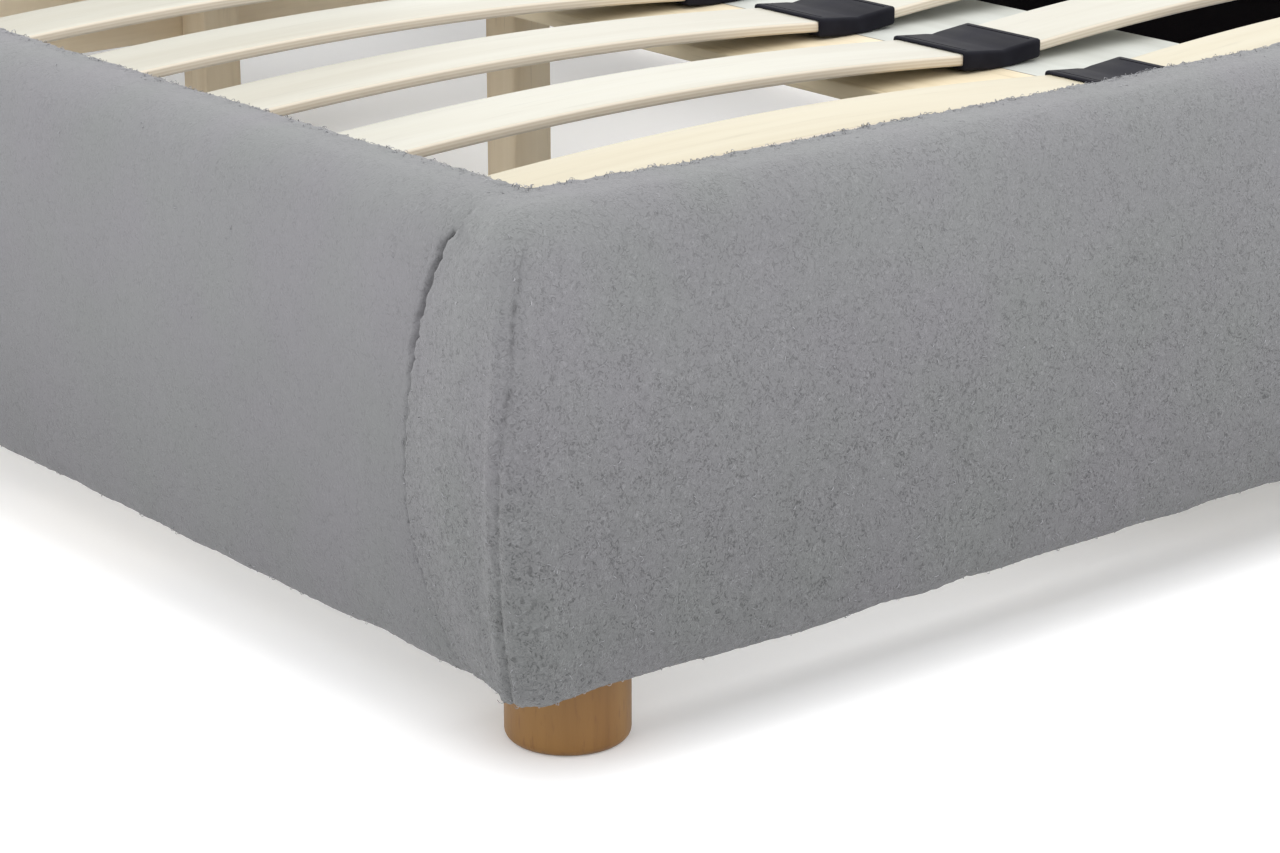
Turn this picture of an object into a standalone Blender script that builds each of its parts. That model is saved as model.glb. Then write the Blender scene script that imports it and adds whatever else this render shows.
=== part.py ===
"""An upholstered sleigh bed on short round feet, with a sprung slatted base.

The bed stands on Z = 0. +Y runs from the foot to the head and +X to the right
of someone who stands at the foot. Sizes are in metres. Distances along the bed
are first measured from the inner edge of the foot panel, and the last step
moves the whole bed so that the origin is in the middle of its footprint.
"""

import math

import bmesh
import bpy
from mathutils import Vector

# Overall sizes.
INNER_WIDTH = 1.22  # between the two side rails, for a 1.20 m mattress
INNER_LENGTH = 1.92  # from the foot panel to the headboard, for a 1.90 m mattress
RAIL_TOP = 0.318
PANEL_BOTTOM = 0.050  # the panels hang this far above the floor
HEAD_TOP = 1.050

# Joints between pieces that touch.
GAP = 0.0003

# Panels: a board with padding on its outer face and over its top edge.
BOARD = 0.025
BOARD_INSET = 0.003  # the padding overhangs the inner face of the board
TOP_PADDING = 0.014
SIDE_DEPTH = 0.055  # from the inner edge to the outer face
FOOT_TOP_DEPTH = 0.055
FOOT_BOTTOM_DEPTH = 0.077  # the foot panel flares outwards
SIDE_TOP_ROUND = 0.032
FOOT_TOP_ROUND = 0.026
HEM_ROUND = 0.015
CORNER_ROUND = 0.020

# The foot panel's padding returns round the corners onto the side rails.
RETURN_DEPTH = 0.0635
RETURN_LENGTH = 0.043  # where the return reaches furthest along the side rail
RETURN_WIDEST = 0.155  # the height of that place above the floor
RETURN_SWEEP = 0.052  # how far its end sweeps back at the hem and at the top

# The headboard: straight, then leaning back, then rolled over.
HEAD_THICKNESS = 0.065
HEAD_FRONT_PADDING = 0.022
HEAD_END_PADDING = 0.0135
LEAN_RADIUS = 1.0
LEAN_ANGLE = math.radians(25)
ROLL_RADIUS = 0.075
CORE_END_ANGLE = math.radians(22)

# Feet.
FOOT_RADIUS = 0.036
FOOT_EDGE_ROUND = 0.005
FOOT_SET_IN = 0.020  # from the inner edge of the side rail to the foot's axis
FOOT_SET_OUT = 0.004  # from the inner edge of the foot panel to the foot's axis

# The slatted base.
SLAT_ROWS = 12
SLAT_WIDTH = 0.068
SLAT_THICKNESS = 0.008
SLAT_EDGE_ROUND = 0.0028
SLAT_BOW = 0.0145
SLAT_END_CLEARANCE = 0.004
FIRST_ROW = 0.142  # from the foot panel to the middle of the first row
LAST_ROW = 0.150  # from the last row to the headboard
SLAT_TOP_DROP = 0.0492  # the ends of the slats lie this far below the rails' top

CAP_LENGTH = 0.074
CAP_WIDTH = 0.074
CAP_WALL = 0.002
CAP_WEB = 0.004  # between its two pockets
CAP_FOOT = 0.020  # the flat middle of its underside
CAP_EDGE_ROUND = 0.0018
CAP_CLEARANCE = 0.0004  # round a slat in its pocket

BASE_BOARD = 0.012
BASE_BOARD_WIDTH = 0.276
BASE_BOARD_SHIFT = 0.020  # the board lies this far to the right of the middle
LEDGE_WIDTH = 0.030
POST_SIZE = 0.038
POST_PLACES = (0.42, 0.66)  # shares of the inner length
CROSS_RAIL_DEPTH = 0.130
CROSS_RAIL_THICKNESS = 0.022
CLEAT_WIDTH = 0.200
CLEAT_HEIGHT = 0.036
CLEAT_THICKNESS = 0.030
BLOCK_SIZE = 0.058

# Places that follow from the sizes above.
HALF_WIDTH = INNER_WIDTH / 2
BOARD_TOP = RAIL_TOP - TOP_PADDING - GAP
BOARD_OUTER = BOARD_INSET + BOARD
HEAD_CORE_Y = INNER_LENGTH + HEAD_FRONT_PADDING
SLAT_END_TOP = RAIL_TOP - SLAT_TOP_DROP
SLAT_END_BOTTOM = SLAT_END_TOP - SLAT_THICKNESS
LEDGE_TOP = SLAT_END_BOTTOM - GAP
CAP_BOTTOM = SLAT_END_BOTTOM - CAP_CLEARANCE - CAP_WALL
BASE_TOP = CAP_BOTTOM - GAP
BASE_BOTTOM = BASE_TOP - BASE_BOARD
SUPPORT_TOP = BASE_BOTTOM - GAP
ROW_PITCH = (INNER_LENGTH - FIRST_ROW - LAST_ROW) / (SLAT_ROWS - 1)
SLAT_INNER_END = CAP_WEB / 2 + CAP_CLEARANCE
SLAT_OUTER_END = HALF_WIDTH - SLAT_END_CLEARANCE
FAR = 0.2  # how far a cutter reaches past what it cuts
NEAR = 0.01  # and how far where other pieces are close
HEM_SLACK = 0.001  # corners within this of the lower edge belong to the hem

SIDES = {"left": -1, "right": 1}


def clear_scene():
    for thing in list(bpy.data.objects):
        bpy.data.objects.remove(thing)


def new_collection(name):
    collection = bpy.data.collections.get(name) or bpy.data.collections.new(name)
    if name not in bpy.context.scene.collection.children:
        bpy.context.scene.collection.children.link(collection)
    return collection


def new_material(name, colour, roughness):
    material = bpy.data.materials.new(name)
    material.use_nodes = True
    shader = material.node_tree.nodes["Principled BSDF"]
    shader.inputs["Base Color"].default_value = (*colour, 1)
    shader.inputs["Roughness"].default_value = roughness
    shader.inputs["Metallic"].default_value = 0
    return material


clear_scene()
BED = new_collection("sleigh_bed")
CUTTERS = new_collection("cutters")

FABRIC = new_material("grey_boucle", (0.29, 0.29, 0.30), 0.95)
BIRCH = new_material("birch_plywood", (0.86, 0.80, 0.68), 0.50)
PINE = new_material("planed_pine", (0.62, 0.47, 0.28), 0.60)
CHIPBOARD = new_material("panel_board", (0.45, 0.34, 0.22), 0.75)
BEECH = new_material("oiled_beech", (0.36, 0.17, 0.06), 0.45)
PLASTIC = new_material("black_plastic", (0.02, 0.02, 0.022), 0.50)

BASE = bpy.data.objects.new("bed_base", None)
BED.objects.link(BASE)


def new_object(name, mesh, collection, location=(0, 0, 0), rotation=(0, 0, 0)):
    thing = bpy.data.objects.new(name, mesh)
    thing.location = location
    thing.rotation_euler = rotation
    thing.parent = BASE
    collection.objects.link(thing)
    return thing


def finish_mesh(name, shape):
    """A mesh from a bmesh, with its faces pointing out."""
    bmesh.ops.recalc_face_normals(shape, faces=shape.faces)
    mesh = bpy.data.meshes.new(name)
    shape.to_mesh(mesh)
    shape.free()
    return mesh


def box(name, low, high, collection=None):
    """A box between two corners, with its origin in its middle."""
    low, high = Vector(low), Vector(high)
    shape = bmesh.new()
    bmesh.ops.create_cube(shape, size=1)
    bmesh.ops.scale(shape, vec=high - low, verts=shape.verts)
    return new_object(name, finish_mesh(name, shape), collection or BED, (low + high) / 2)


def prism(name, outline, axis, start, end, collection=None):
    """A flat outline of (x, z) or (y, z) points, drawn out along Y or X."""
    curve = bpy.data.curves.new(name, "CURVE")
    curve.dimensions = "2D"
    curve.fill_mode = "BOTH"
    curve.extrude = (end - start) / 2
    spline = curve.splines.new("POLY")
    spline.points.add(len(outline) - 1)
    spline.use_cyclic_u = True
    for point, (across, up) in zip(spline.points, outline):
        point.co = (across, up, 0, 1)
    middle = (start + end) / 2
    if axis == "Y":
        location, rotation = (0, middle, 0), (math.pi / 2, 0, 0)
    else:
        location, rotation = (middle, 0, 0), (math.pi / 2, 0, math.pi / 2)
    drawn = bpy.data.objects.new(name + "_outline", curve)
    bpy.context.scene.collection.objects.link(drawn)
    bpy.context.view_layer.update()
    seen = drawn.evaluated_get(bpy.context.evaluated_depsgraph_get())
    shape = bmesh.new()
    shape.from_mesh(bpy.data.meshes.new_from_object(seen))
    bmesh.ops.remove_doubles(shape, verts=shape.verts, dist=0.00001)
    bpy.data.objects.remove(drawn)
    return new_object(name, finish_mesh(name, shape), collection or BED, location, rotation)


def cut(piece, cutter):
    """Take the cutter out of the piece."""
    cutter.hide_render = True
    cutter.display_type = "WIRE"
    knife = piece.modifiers.new("cut_" + cutter.name, "BOOLEAN")
    knife.operation = "DIFFERENCE"
    knife.solver = "EXACT"
    knife.object = cutter


def round_edges(piece, width, segments):
    bevel = piece.modifiers.new("rounded", "BEVEL")
    bevel.width = width
    bevel.segments = segments
    bevel.limit_method = "ANGLE"
    bevel.angle_limit = math.radians(50)


def finish(piece, material, smooth=False):
    piece.data.materials.clear()
    piece.data.materials.append(material)
    if smooth:
        piece.data.shade_smooth()
        piece.data.set_sharp_from_angle(angle=math.radians(35))
    return piece


def arc(centre, radius, start, end, steps):
    """Points round a centre. Angles are measured from the -X side, over the top."""
    turns = [start + (end - start) * i / steps for i in range(steps + 1)]
    return [
        (centre[0] - radius * math.cos(a), centre[1] + radius * math.sin(a)) for a in turns
    ]


# Side rails -----------------------------------------------------------------


def return_end(height):
    """Where the foot panel's return ends, at a height above the floor."""
    limit = RAIL_TOP if height > RETURN_WIDEST else PANEL_BOTTOM
    share = (height - RETURN_WIDEST) / (limit - RETURN_WIDEST)
    return RETURN_LENGTH - RETURN_SWEEP * share**2


def return_edge(offset, reach, steps=14):
    """The outline of everything to one side of the return's end."""
    bottom, top = PANEL_BOTTOM - NEAR, RAIL_TOP + NEAR
    heights = [bottom + (top - bottom) * i / steps for i in range(steps + 1)]
    edge = [(return_end(h) + offset, h) for h in heights]
    return [*edge, (reach, top), (reach, bottom)]


def side_rail(side, sign):
    inner, outer = BOARD_INSET, BOARD_OUTER
    ends = sorted(sign * (HALF_WIDTH + u) for u in (inner, outer))
    core = box(
        f"side_rail_board_{side}",
        (ends[0], GAP - BOARD_INSET, PANEL_BOTTOM),
        (ends[1], HEAD_CORE_Y - GAP, BOARD_TOP),
    )
    finish(core, CHIPBOARD)

    right_angle = math.pi / 2
    outline = [(0, BOARD_TOP + GAP), (0, RAIL_TOP)]
    top_centre = (SIDE_DEPTH - SIDE_TOP_ROUND, RAIL_TOP - SIDE_TOP_ROUND)
    outline += arc(top_centre, SIDE_TOP_ROUND, right_angle, 2 * right_angle, 6)
    hem_centre = (SIDE_DEPTH - HEM_ROUND, PANEL_BOTTOM + HEM_ROUND)
    outline += arc(hem_centre, HEM_ROUND, 2 * right_angle, 3 * right_angle, 4)
    outline += [(outer + GAP, PANEL_BOTTOM), (outer + GAP, BOARD_TOP + GAP)]
    outline = [(sign * (HALF_WIDTH + u), z) for u, z in outline]
    padding = prism(
        f"side_rail_padding_{side}", outline, "Y", -RETURN_LENGTH, HEAD_CORE_Y - GAP
    )
    reach = sorted(sign * (HALF_WIDTH + u) for u in (-NEAR, SIDE_DEPTH + NEAR))
    cutter = prism(
        f"rail_end_{side}", return_edge(GAP, -FAR), "X", *reach, collection=CUTTERS
    )
    cut(padding, cutter)
    finish(padding, FABRIC, smooth=True)

    ledge_ends = sorted(sign * (HALF_WIDTH + u) for u in (inner - GAP, -LEDGE_WIDTH))
    ledge = box(
        f"slat_ledge_{side}",
        (ledge_ends[0], GAP - BOARD_INSET, BASE_BOTTOM),
        (ledge_ends[1], HEAD_CORE_Y - GAP, LEDGE_TOP),
    )
    finish(ledge, PINE)


# Foot panel -----------------------------------------------------------------


def bevel_where(shape, test, width, segments):
    """Round the edges of a shape whose two ends pass a test."""
    edges = [e for e in shape.edges if test(e.verts[0].co, e.verts[1].co)]
    bmesh.ops.bevel(
        shape, geom=edges, offset=width, segments=segments, profile=0.5, affect="EDGES"
    )


def foot_panel():
    board = box(
        "footboard_board",
        (-HALF_WIDTH - BOARD_OUTER, -BOARD_OUTER, PANEL_BOTTOM),
        (HALF_WIDTH + BOARD_OUTER, -BOARD_INSET, BOARD_TOP),
    )
    finish(board, CHIPBOARD)

    width = HALF_WIDTH + RETURN_DEPTH
    back = RETURN_LENGTH + NEAR
    shape = bmesh.new()
    bmesh.ops.create_cube(shape, size=1)
    for corner in shape.verts:
        upper, behind = corner.co.z > 0, corner.co.y > 0
        depth = FOOT_TOP_DEPTH if upper else FOOT_BOTTOM_DEPTH
        corner.co.x = math.copysign(width, corner.co.x)
        corner.co.y = back if behind else -depth
        corner.co.z = RAIL_TOP if upper else PANEL_BOTTOM
    middle = (RAIL_TOP + PANEL_BOTTOM) / 2
    bevel_where(shape, lambda a, b: a.y < 0 and b.y < 0 and a.x * b.x > 0, CORNER_ROUND, 4)
    bevel_where(
        shape, lambda a, b: min(a.z, b.z) > middle and min(a.y, b.y) < 0, FOOT_TOP_ROUND, 4
    )
    hem = PANEL_BOTTOM + HEM_SLACK
    bevel_where(shape, lambda a, b: max(a.z, b.z) < hem and min(a.y, b.y) < 0, HEM_ROUND, 3)
    padding = new_object("footboard_padding", finish_mesh("footboard_padding", shape), BED)

    slot = HALF_WIDTH + BOARD_OUTER + GAP
    board_slot = box(
        "footboard_board_slot",
        (-slot, -BOARD_OUTER - GAP, PANEL_BOTTOM - FAR),
        (slot, back + FAR, BOARD_TOP + GAP),
        CUTTERS,
    )
    cut(padding, board_slot)
    inside = box(
        "mattress_space", (-HALF_WIDTH, 0, 0), (HALF_WIDTH, back + FAR, HEAD_TOP), CUTTERS
    )
    cut(padding, inside)
    for side, sign in SIDES.items():
        reach = sorted(sign * (HALF_WIDTH + u) for u in (-NEAR, RETURN_DEPTH + NEAR))
        cutter = prism(
            f"return_end_{side}", return_edge(0, back + FAR), "X", *reach, collection=CUTTERS
        )
        cut(padding, cutter)
    finish(padding, FABRIC, smooth=True)


# Headboard ------------------------------------------------------------------


def headboard():
    straight_top = HEAD_TOP - ROLL_RADIUS - (LEAN_RADIUS - ROLL_RADIUS) * math.sin(LEAN_ANGLE)
    lean = (LEAN_RADIUS, straight_top)

    def slab(front, back, bottom, end, steps=9):
        """A board's outline, at two distances behind the headboard's front face."""
        return [
            (front, bottom),
            *arc(lean, LEAN_RADIUS - front, 0, end, steps),
            *arc(lean, LEAN_RADIUS - back, end, 0, steps),
            (back, bottom),
        ]

    def place(outline):
        return [(INNER_LENGTH + y, z) for y, z in outline]

    front, back = HEAD_FRONT_PADDING, HEAD_FRONT_PADDING + BOARD
    core_end = HALF_WIDTH + RETURN_DEPTH - HEAD_END_PADDING
    core_outline = slab(front, back, PANEL_BOTTOM, CORE_END_ANGLE)
    core = prism("headboard_board", place(core_outline), "X", -core_end, core_end)
    finish(core, CHIPBOARD)

    # The roll touches the lean's arc from inside, and the back face runs up into it.
    to_roll = LEAN_RADIUS - ROLL_RADIUS
    back_radius = LEAN_RADIUS - HEAD_THICKNESS
    share = (to_roll**2 + back_radius**2 - ROLL_RADIUS**2) / (2 * to_roll * back_radius)
    back_angle = LEAN_ANGLE - math.acos(share)
    roll = arc(lean, to_roll, LEAN_ANGLE, LEAN_ANGLE, 1)[0]
    meeting = arc(lean, back_radius, back_angle, back_angle, 1)[0]
    roll_end = math.atan2(meeting[1] - roll[1], roll[0] - meeting[0]) % (2 * math.pi)
    outline = [
        (0, PANEL_BOTTOM),
        *arc(lean, LEAN_RADIUS, 0, LEAN_ANGLE, 9),
        *arc(roll, ROLL_RADIUS, LEAN_ANGLE, math.pi / 2, 4)[1:],
        *arc(roll, ROLL_RADIUS, math.pi / 2, math.pi, 5)[1:],
        *arc(roll, ROLL_RADIUS, math.pi, roll_end, 6)[1:],
        *arc(lean, back_radius, back_angle, 0, 8)[1:],
        (HEAD_THICKNESS, PANEL_BOTTOM),
    ]
    end = HALF_WIDTH + RETURN_DEPTH
    padding = prism("headboard_padding", place(outline), "X", -end, end)
    slot_outline = slab(
        front - GAP, back + GAP, PANEL_BOTTOM - FAR, CORE_END_ANGLE + GAP / back_radius
    )
    slot = prism(
        "headboard_board_slot",
        place(slot_outline),
        "X",
        -core_end - GAP,
        core_end + GAP,
        CUTTERS,
    )
    cut(padding, slot)
    rails = box(
        "rail_seat",
        (-end - FAR, INNER_LENGTH - FAR, PANEL_BOTTOM - FAR),
        (end + FAR, HEAD_CORE_Y, RAIL_TOP + GAP),
        CUTTERS,
    )
    cut(padding, rails)
    finish(padding, FABRIC, smooth=True)


# Feet and corner blocks -----------------------------------------------------


def foot(name, x, y):
    """A turned foot: half of its outline, spun round the Z axis."""
    height = PANEL_BOTTOM - GAP
    round_centre = (FOOT_RADIUS - FOOT_EDGE_ROUND, FOOT_EDGE_ROUND)
    profile = [(0, height), (FOOT_RADIUS, height)]
    profile += arc(round_centre, FOOT_EDGE_ROUND, math.pi, 1.5 * math.pi, 3)
    profile += [(0, 0)]
    shape = bmesh.new()
    points = [shape.verts.new((r, 0, z)) for r, z in profile]
    for one, other in zip(points, points[1:]):
        shape.edges.new((one, other))
    mesh = bpy.data.meshes.new(name)
    shape.to_mesh(mesh)
    shape.free()
    thing = new_object(name, mesh, BED, (x, y, 0))
    turn = thing.modifiers.new("turned", "SCREW")
    turn.steps = 36
    turn.render_steps = 36
    turn.use_merge_vertices = True
    turn.merge_threshold = 0.00001
    finish(thing, BEECH, smooth=True)


def corners():
    ends = {
        "foot": (-FOOT_SET_OUT, GAP - BOARD_INSET, 1),
        "head": (HEAD_CORE_Y - BOARD_INSET + FOOT_SET_OUT, HEAD_CORE_Y - GAP, -1),
    }
    for end, (axis_y, face_y, inwards) in ends.items():
        for side, sign in SIDES.items():
            foot(f"leg_{end}_{side}", sign * (HALF_WIDTH - FOOT_SET_IN), axis_y)
            face_x = sign * (HALF_WIDTH + BOARD_INSET - GAP)
            xs = sorted((face_x, face_x - sign * BLOCK_SIZE))
            ys = sorted((face_y, face_y + inwards * BLOCK_SIZE))
            block = box(
                f"corner_block_{end}_{side}",
                (xs[0], ys[0], PANEL_BOTTOM),
                (xs[1], ys[1], SUPPORT_TOP),
            )
            finish(block, PINE)


# The slatted base -----------------------------------------------------------


def slat_outline(sign, grown, inner, outer, steps=8):
    """A bowed slat seen from the foot, thicker by the clearance all round."""
    middle = (SLAT_INNER_END + SLAT_OUTER_END) / 2
    half = (SLAT_OUTER_END - SLAT_INNER_END) / 2

    def rise(x):
        return SLAT_BOW * (1 - ((x - middle) / half) ** 2)

    xs = [inner + (outer - inner) * i / steps for i in range(steps + 1)]
    under = [(sign * x, SLAT_END_BOTTOM - grown + rise(x)) for x in xs]
    over = [(sign * x, SLAT_END_TOP + grown + rise(x)) for x in reversed(xs)]
    return under + over


def cap_outline():
    """The double cap seen from the foot: two arms that rise with the slats."""
    slope = 4 * SLAT_BOW / (SLAT_OUTER_END - SLAT_INNER_END)
    thickness = SLAT_THICKNESS + 2 * (CAP_CLEARANCE + CAP_WALL)
    half, flat = CAP_LENGTH / 2, CAP_FOOT / 2
    rise = slope * (half - flat)
    return [
        (-flat, CAP_BOTTOM),
        (flat, CAP_BOTTOM),
        (half, CAP_BOTTOM + rise),
        (half, CAP_BOTTOM + slope * half + thickness),
        (0, CAP_BOTTOM + thickness),
        (-half, CAP_BOTTOM + slope * half + thickness),
        (-half, CAP_BOTTOM + rise),
    ]


def row_place(row):
    return FIRST_ROW + row * ROW_PITCH


def slatted_base():
    half_slat = SLAT_WIDTH / 2
    slats = {}
    pockets = {}
    for side, sign in SIDES.items():
        outline = slat_outline(sign, 0, SLAT_INNER_END, SLAT_OUTER_END)
        slat = prism(f"slat_01_{side}", outline, "Y", -half_slat, half_slat)
        round_edges(slat, SLAT_EDGE_ROUND, 1)
        slats[side] = finish(slat, BIRCH, smooth=True)
        grown = slat_outline(sign, CAP_CLEARANCE, CAP_WEB / 2, CAP_LENGTH / 2 + NEAR, 3)
        reach = half_slat + CAP_CLEARANCE
        pockets[side] = prism(f"pocket_{side}", grown, "Y", -reach, reach, CUTTERS)
        pockets[side].location.y = row_place(0)
    first_cap = prism("slat_cap_01", cap_outline(), "Y", -CAP_WIDTH / 2, CAP_WIDTH / 2)
    round_edges(first_cap, CAP_EDGE_ROUND, 1)
    first_cap.location.y = row_place(0)
    for side in SIDES:
        cut(first_cap, pockets[side])
    bpy.context.view_layer.update()
    seen = first_cap.evaluated_get(bpy.context.evaluated_depsgraph_get())
    cap_mesh = bpy.data.meshes.new_from_object(seen)
    first_cap.modifiers.clear()
    first_cap.data = cap_mesh
    finish(first_cap, PLASTIC)

    for side, slat in slats.items():
        slat.location.y = row_place(0)
        for row in range(1, SLAT_ROWS):
            copy = slat.copy()
            copy.name = f"slat_{row + 1:02d}_{side}"
            copy.location.y = row_place(row)
            BED.objects.link(copy)
    for row in range(1, SLAT_ROWS):
        copy = first_cap.copy()
        copy.name = f"slat_cap_{row + 1:02d}"
        copy.location.y = row_place(row)
        BED.objects.link(copy)


def supports():
    half = BASE_BOARD_WIDTH / 2
    board = box(
        "centre_board",
        (BASE_BOARD_SHIFT - half, GAP - BOARD_INSET, BASE_BOTTOM),
        (BASE_BOARD_SHIFT + half, HEAD_CORE_Y - GAP, BASE_TOP),
    )
    finish(board, PINE)

    faces = {"foot": (GAP - BOARD_INSET, 1), "head": (HEAD_CORE_Y - GAP, -1)}
    for end, (face, inwards) in faces.items():
        ys = sorted((face, face + inwards * CLEAT_THICKNESS))
        cleat = box(
            f"centre_cleat_{end}",
            (-CLEAT_WIDTH / 2, ys[0], SUPPORT_TOP - CLEAT_HEIGHT),
            (CLEAT_WIDTH / 2, ys[1], SUPPORT_TOP),
        )
        finish(cleat, PINE)

    post = POST_SIZE / 2
    places = [INNER_LENGTH * share for share in POST_PLACES]
    for number, y in enumerate(places, start=1):
        leg = box(
            f"centre_leg_{number}", (-post, y - post, 0), (post, y + post, SUPPORT_TOP)
        )
        finish(leg, PINE)

    rail_y = places[-1] + post + GAP
    rail_end = HALF_WIDTH + BOARD_INSET - GAP
    rail = box(
        "cross_rail",
        (-rail_end, rail_y, SUPPORT_TOP - CROSS_RAIL_DEPTH),
        (rail_end, rail_y + CROSS_RAIL_THICKNESS, SUPPORT_TOP),
    )
    finish(rail, PINE)


def centre_on_origin():
    """Put the origin in the middle of the bed's footprint, on the floor."""
    bpy.context.view_layer.update()
    points = []
    for thing in BED.objects:
        if thing.type == "MESH":
            seen = thing.evaluated_get(bpy.context.evaluated_depsgraph_get())
            points += [seen.matrix_world @ Vector(c) for c in seen.bound_box]
    for axis in range(2):
        low = min(p[axis] for p in points)
        high = max(p[axis] for p in points)
        BASE.location[axis] = -(low + high) / 2


for side_name, side_sign in SIDES.items():
    side_rail(side_name, side_sign)
foot_panel()
headboard()
corners()
supports()
slatted_base()
centre_on_origin()
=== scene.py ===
"""The looks of the sleigh bed: boucle covers, birch slats, caps, boards, feet and lining."""

import math

import bmesh
import bpy
import numpy as np
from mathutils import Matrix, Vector
from mathutils.kdtree import KDTree


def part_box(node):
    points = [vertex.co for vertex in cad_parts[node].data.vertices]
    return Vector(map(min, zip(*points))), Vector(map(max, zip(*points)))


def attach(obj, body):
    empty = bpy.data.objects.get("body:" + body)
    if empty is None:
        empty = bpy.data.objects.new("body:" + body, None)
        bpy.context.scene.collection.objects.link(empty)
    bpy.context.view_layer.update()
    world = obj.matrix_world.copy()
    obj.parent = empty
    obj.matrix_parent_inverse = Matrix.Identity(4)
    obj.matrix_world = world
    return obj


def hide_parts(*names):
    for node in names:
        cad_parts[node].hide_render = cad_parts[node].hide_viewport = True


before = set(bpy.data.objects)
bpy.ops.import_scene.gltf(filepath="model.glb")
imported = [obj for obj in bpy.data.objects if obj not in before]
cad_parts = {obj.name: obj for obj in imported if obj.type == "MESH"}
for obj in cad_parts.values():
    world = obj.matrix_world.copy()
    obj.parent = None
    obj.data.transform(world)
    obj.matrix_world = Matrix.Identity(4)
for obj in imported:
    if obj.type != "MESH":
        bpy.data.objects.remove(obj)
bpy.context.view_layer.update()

TURN = 2 * math.pi
RIGHT = math.pi / 2
BODY = "root"
SIDES = (("left", -1), ("right", 1))
ENDS = (("foot", 1), ("head", -1))

# Places read from the frame ---------------------------------------------------

board_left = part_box("side_rail_board_left")
board_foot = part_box("footboard_board")
pad_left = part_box("side_rail_padding_left")
pad_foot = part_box("footboard_padding")
pad_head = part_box("headboard_padding")
ledge_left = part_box("slat_ledge_left")

HALF = -pad_left[1].x  # the inner edge of a side rail
INSET = -board_left[1].x - HALF  # the boards' inner faces lie this far behind it
FOOT_Y = board_foot[1].y + INSET  # the inner edge of the foot panel
HEAD_Y = pad_head[0].y  # the headboard's front face
HEAD_BOARD_Y = board_left[1].y  # where the side rails meet the headboard's board
TOP = pad_left[1].z
BOTTOM = pad_left[0].z
LEDGE_TOP = ledge_left[1].z
LEDGE_BOTTOM = ledge_left[0].z
SIDE_DEPTH = -HALF - pad_left[0].x
RETURN_DEPTH = -HALF - pad_foot[0].x
FOOT_TOP_DEPTH = 0.055
FOOT_BOTTOM_DEPTH = 0.077


# Materials --------------------------------------------------------------------


class Look:
    """A material whose nodes are added one at a time."""

    def __init__(self, name):
        self.material = bpy.data.materials.new(name)
        self.material.use_nodes = True
        self.tree = self.material.node_tree
        self.shader = self.tree.nodes["Principled BSDF"]

    def node(self, kind, inputs=None, **settings):
        made = self.tree.nodes.new("ShaderNode" + kind)
        for name, value in settings.items():
            setattr(made, name, value)
        for key, value in (inputs or {}).items():
            self.put(made.inputs[key], value)
        return made

    def put(self, socket, value):
        if isinstance(value, bpy.types.NodeSocket):
            self.tree.links.new(value, socket)
        else:
            socket.default_value = value

    def set(self, **inputs):
        for name, value in inputs.items():
            self.put(self.shader.inputs[name.replace("_", " ")], value)

    def place(self, stretch=(1, 1, 1)):
        """The point on the object, in metres, stretched along each axis."""
        coords = self.node("TexCoord").outputs["Object"]
        if tuple(stretch) == (1, 1, 1):
            return coords
        scaled = self.node("VectorMath", {0: coords, 1: stretch}, operation="MULTIPLY")
        return scaled.outputs["Vector"]

    def noise(self, at, scale, detail=2.0, roughness=0.5, distortion=0.0):
        inputs = {"Vector": at, "Scale": scale, "Detail": detail}
        inputs |= {"Roughness": roughness, "Distortion": distortion}
        return self.node("TexNoise", inputs).outputs["Fac"]

    def math(self, operation, a, b=0.0, c=0.0):
        made = self.node("Math", {0: a, 1: b, 2: c}, operation=operation)
        return made.outputs[0]

    def spread(self, value, low, high, to_low=0.0, to_high=1.0):
        inputs = {"Value": value, "From Min": low, "From Max": high}
        inputs |= {"To Min": to_low, "To Max": to_high}
        return self.node("MapRange", inputs).outputs[0]

    def ramp(self, value, *stops):
        """Colours at places from 0 to 1."""
        made = self.node("ValToRGB", {"Fac": value})
        elements = made.color_ramp.elements
        while len(elements) < len(stops):
            elements.new(0.5)
        for element, (place, colour) in zip(elements, stops):
            element.position = place
            element.color = (*colour, 1)
        return made.outputs["Color"]

    def mix(self, share, one, other, blend="MIX"):
        made = self.node("Mix", data_type="RGBA", blend_type=blend)
        self.put(made.inputs["Factor"], share)
        self.put(made.inputs[6], one)
        self.put(made.inputs[7], other)
        return made.outputs[2]

    def bump(self, height, strength, distance, normal=None):
        inputs = {"Height": height, "Strength": strength, "Distance": distance}
        if normal is not None:
            inputs["Normal"] = normal
        return self.node("Bump", inputs).outputs["Normal"]


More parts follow.
